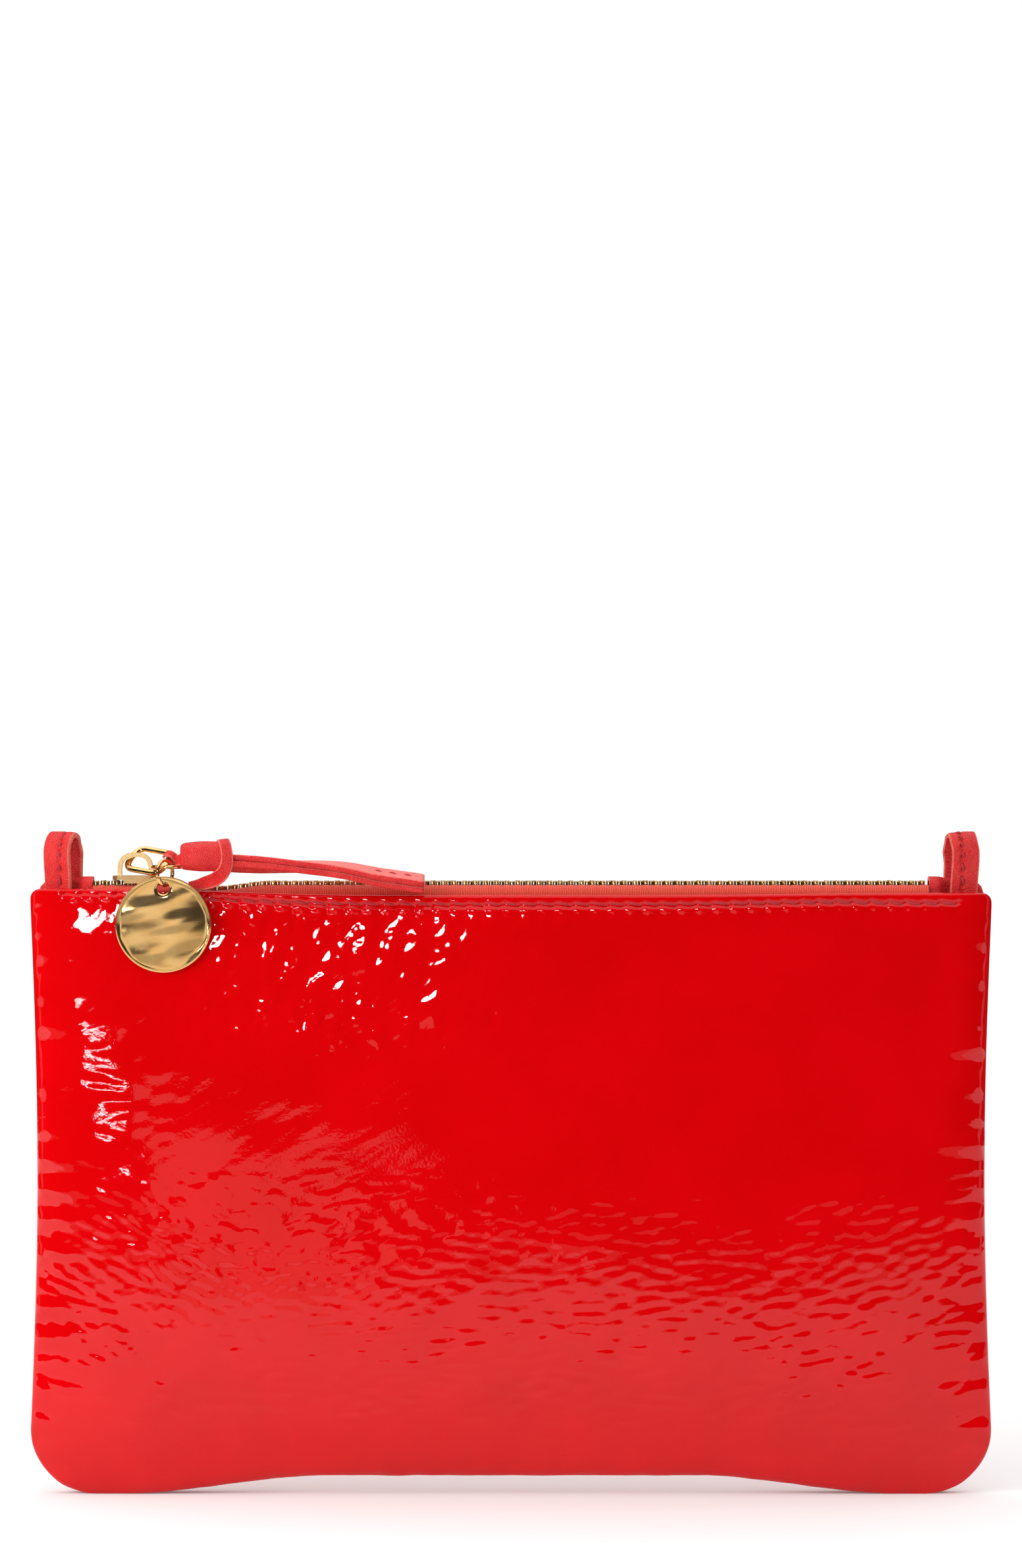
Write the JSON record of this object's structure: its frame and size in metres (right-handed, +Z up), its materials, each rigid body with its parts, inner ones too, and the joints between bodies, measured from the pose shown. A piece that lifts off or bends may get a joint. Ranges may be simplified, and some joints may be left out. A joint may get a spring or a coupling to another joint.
{
  "type": "zip pouch wallet",
  "caption": "Slim rectangular zip-top pouch wallet in crinkled patent leather, with a metal zip, leather pull, hanging disc and strap loops.",
  "frame": {"origin": "on the surface the pouch stands on, midway between the two side seams and in the plane between the two panels", "axes": "+X along the zip towards its open end, -Y towards the front with the hanging disc, +Z up to the zip"},
  "size_m": [0.229, 0.023, 0.1582],
  "materials": {
    "patent_leather": "crinkled patent leather, high gloss",
    "plain_leather": "matte grained leather with raw edges",
    "lining_cloth": "plain woven lining",
    "zip_tape": "woven zip tape",
    "gold_metal": "polished gold-tone plating",
    "thread": "twisted sewing thread"
  },
  "bodies": {
    "pouch": {"front_panel": "patent_leather", "back_panel": "patent_leather", "front_lining": "lining_cloth", "back_lining": "lining_cloth", "card_slot_upper": "lining_cloth", "card_slot_lower": "lining_cloth", "card_slot_stitching": "thread", "top_stop_front": "gold_metal", "top_stop_back": "gold_metal", "bottom_stop": "gold_metal", "left_end_tab": "plain_leather", "right_end_tab": "plain_leather", "left_strap_loop": "plain_leather", "right_strap_loop": "plain_leather", "left_loop_stitching": "thread", "right_loop_stitching": "thread", "topstitch_front": "thread", "topstitch_back": "thread"},
    "front_lip": {"zip_tape_front": "zip_tape", "teeth_front": "gold_metal"},
    "back_lip": {"zip_tape_back": "zip_tape", "teeth_back": "gold_metal"},
    "slider": {"zip_slider": "gold_metal"},
    "link": {"pull_link": "gold_metal"},
    "thong": {"pull_thong": "plain_leather", "pull_stitching": "thread"},
    "ring": {"link_ring": "gold_metal"},
    "hanger": {"disc_ring": "gold_metal"},
    "disc": {"hanging_disc": "gold_metal"}
  },
  "joints": [
    {"name": "zipper", "type": "slide", "parent": "pouch", "child": "slider", "axis": [1, 0, 0], "range_m": [0, 0.178], "deforming": ["zip_tape_front", "zip_tape_back", "teeth_front", "teeth_back"]},
    {"name": "front_lip_opens", "type": "slide", "parent": "pouch", "child": "front_lip", "axis": [0, -1, 0], "range_m": [0, 0.009]},
    {"name": "back_lip_opens", "type": "slide", "parent": "pouch", "child": "back_lip", "axis": [0, 1, 0], "range_m": [0, 0.009]},
    {"name": "link_lifts", "type": "hinge", "parent": "slider", "child": "link", "pos_m": [-0.092, 0, 0.1493], "axis": [0.4522, 0.597, 0.6626], "range_deg": [-60, 0]},
    {"name": "thong_lifts", "type": "hinge", "parent": "link", "child": "thong", "pos_m": [-0.08108, -0.00202, 0.15121], "axis": [0.4522, 0.597, 0.6626], "range_deg": [-75, 0]},
    {"name": "ring_lifts", "type": "hinge", "parent": "link", "child": "ring", "pos_m": [-0.08243, -0.00381, 0.14922], "axis": [0.4522, 0.597, 0.6626], "range_deg": [-6, 0]},
    {"name": "hanger_swings", "type": "hinge", "parent": "ring", "child": "hanger", "pos_m": [-0.08242, -0.0087, 0.1492], "axis": [0.9703, -0.2419, 0], "range_deg": [-12, 0]},
    {"name": "disc_swings", "type": "hinge", "parent": "hanger", "child": "disc", "pos_m": [-0.0823, -0.0092, 0.1452], "axis": [1, 0, 0], "range_deg": [-20, 0]}
  ],
  "couplings": [
    {"joint": "front_lip_opens", "follows": "zipper", "ratio": 0.0505},
    {"joint": "back_lip_opens", "follows": "zipper", "ratio": 0.0505}
  ]
}
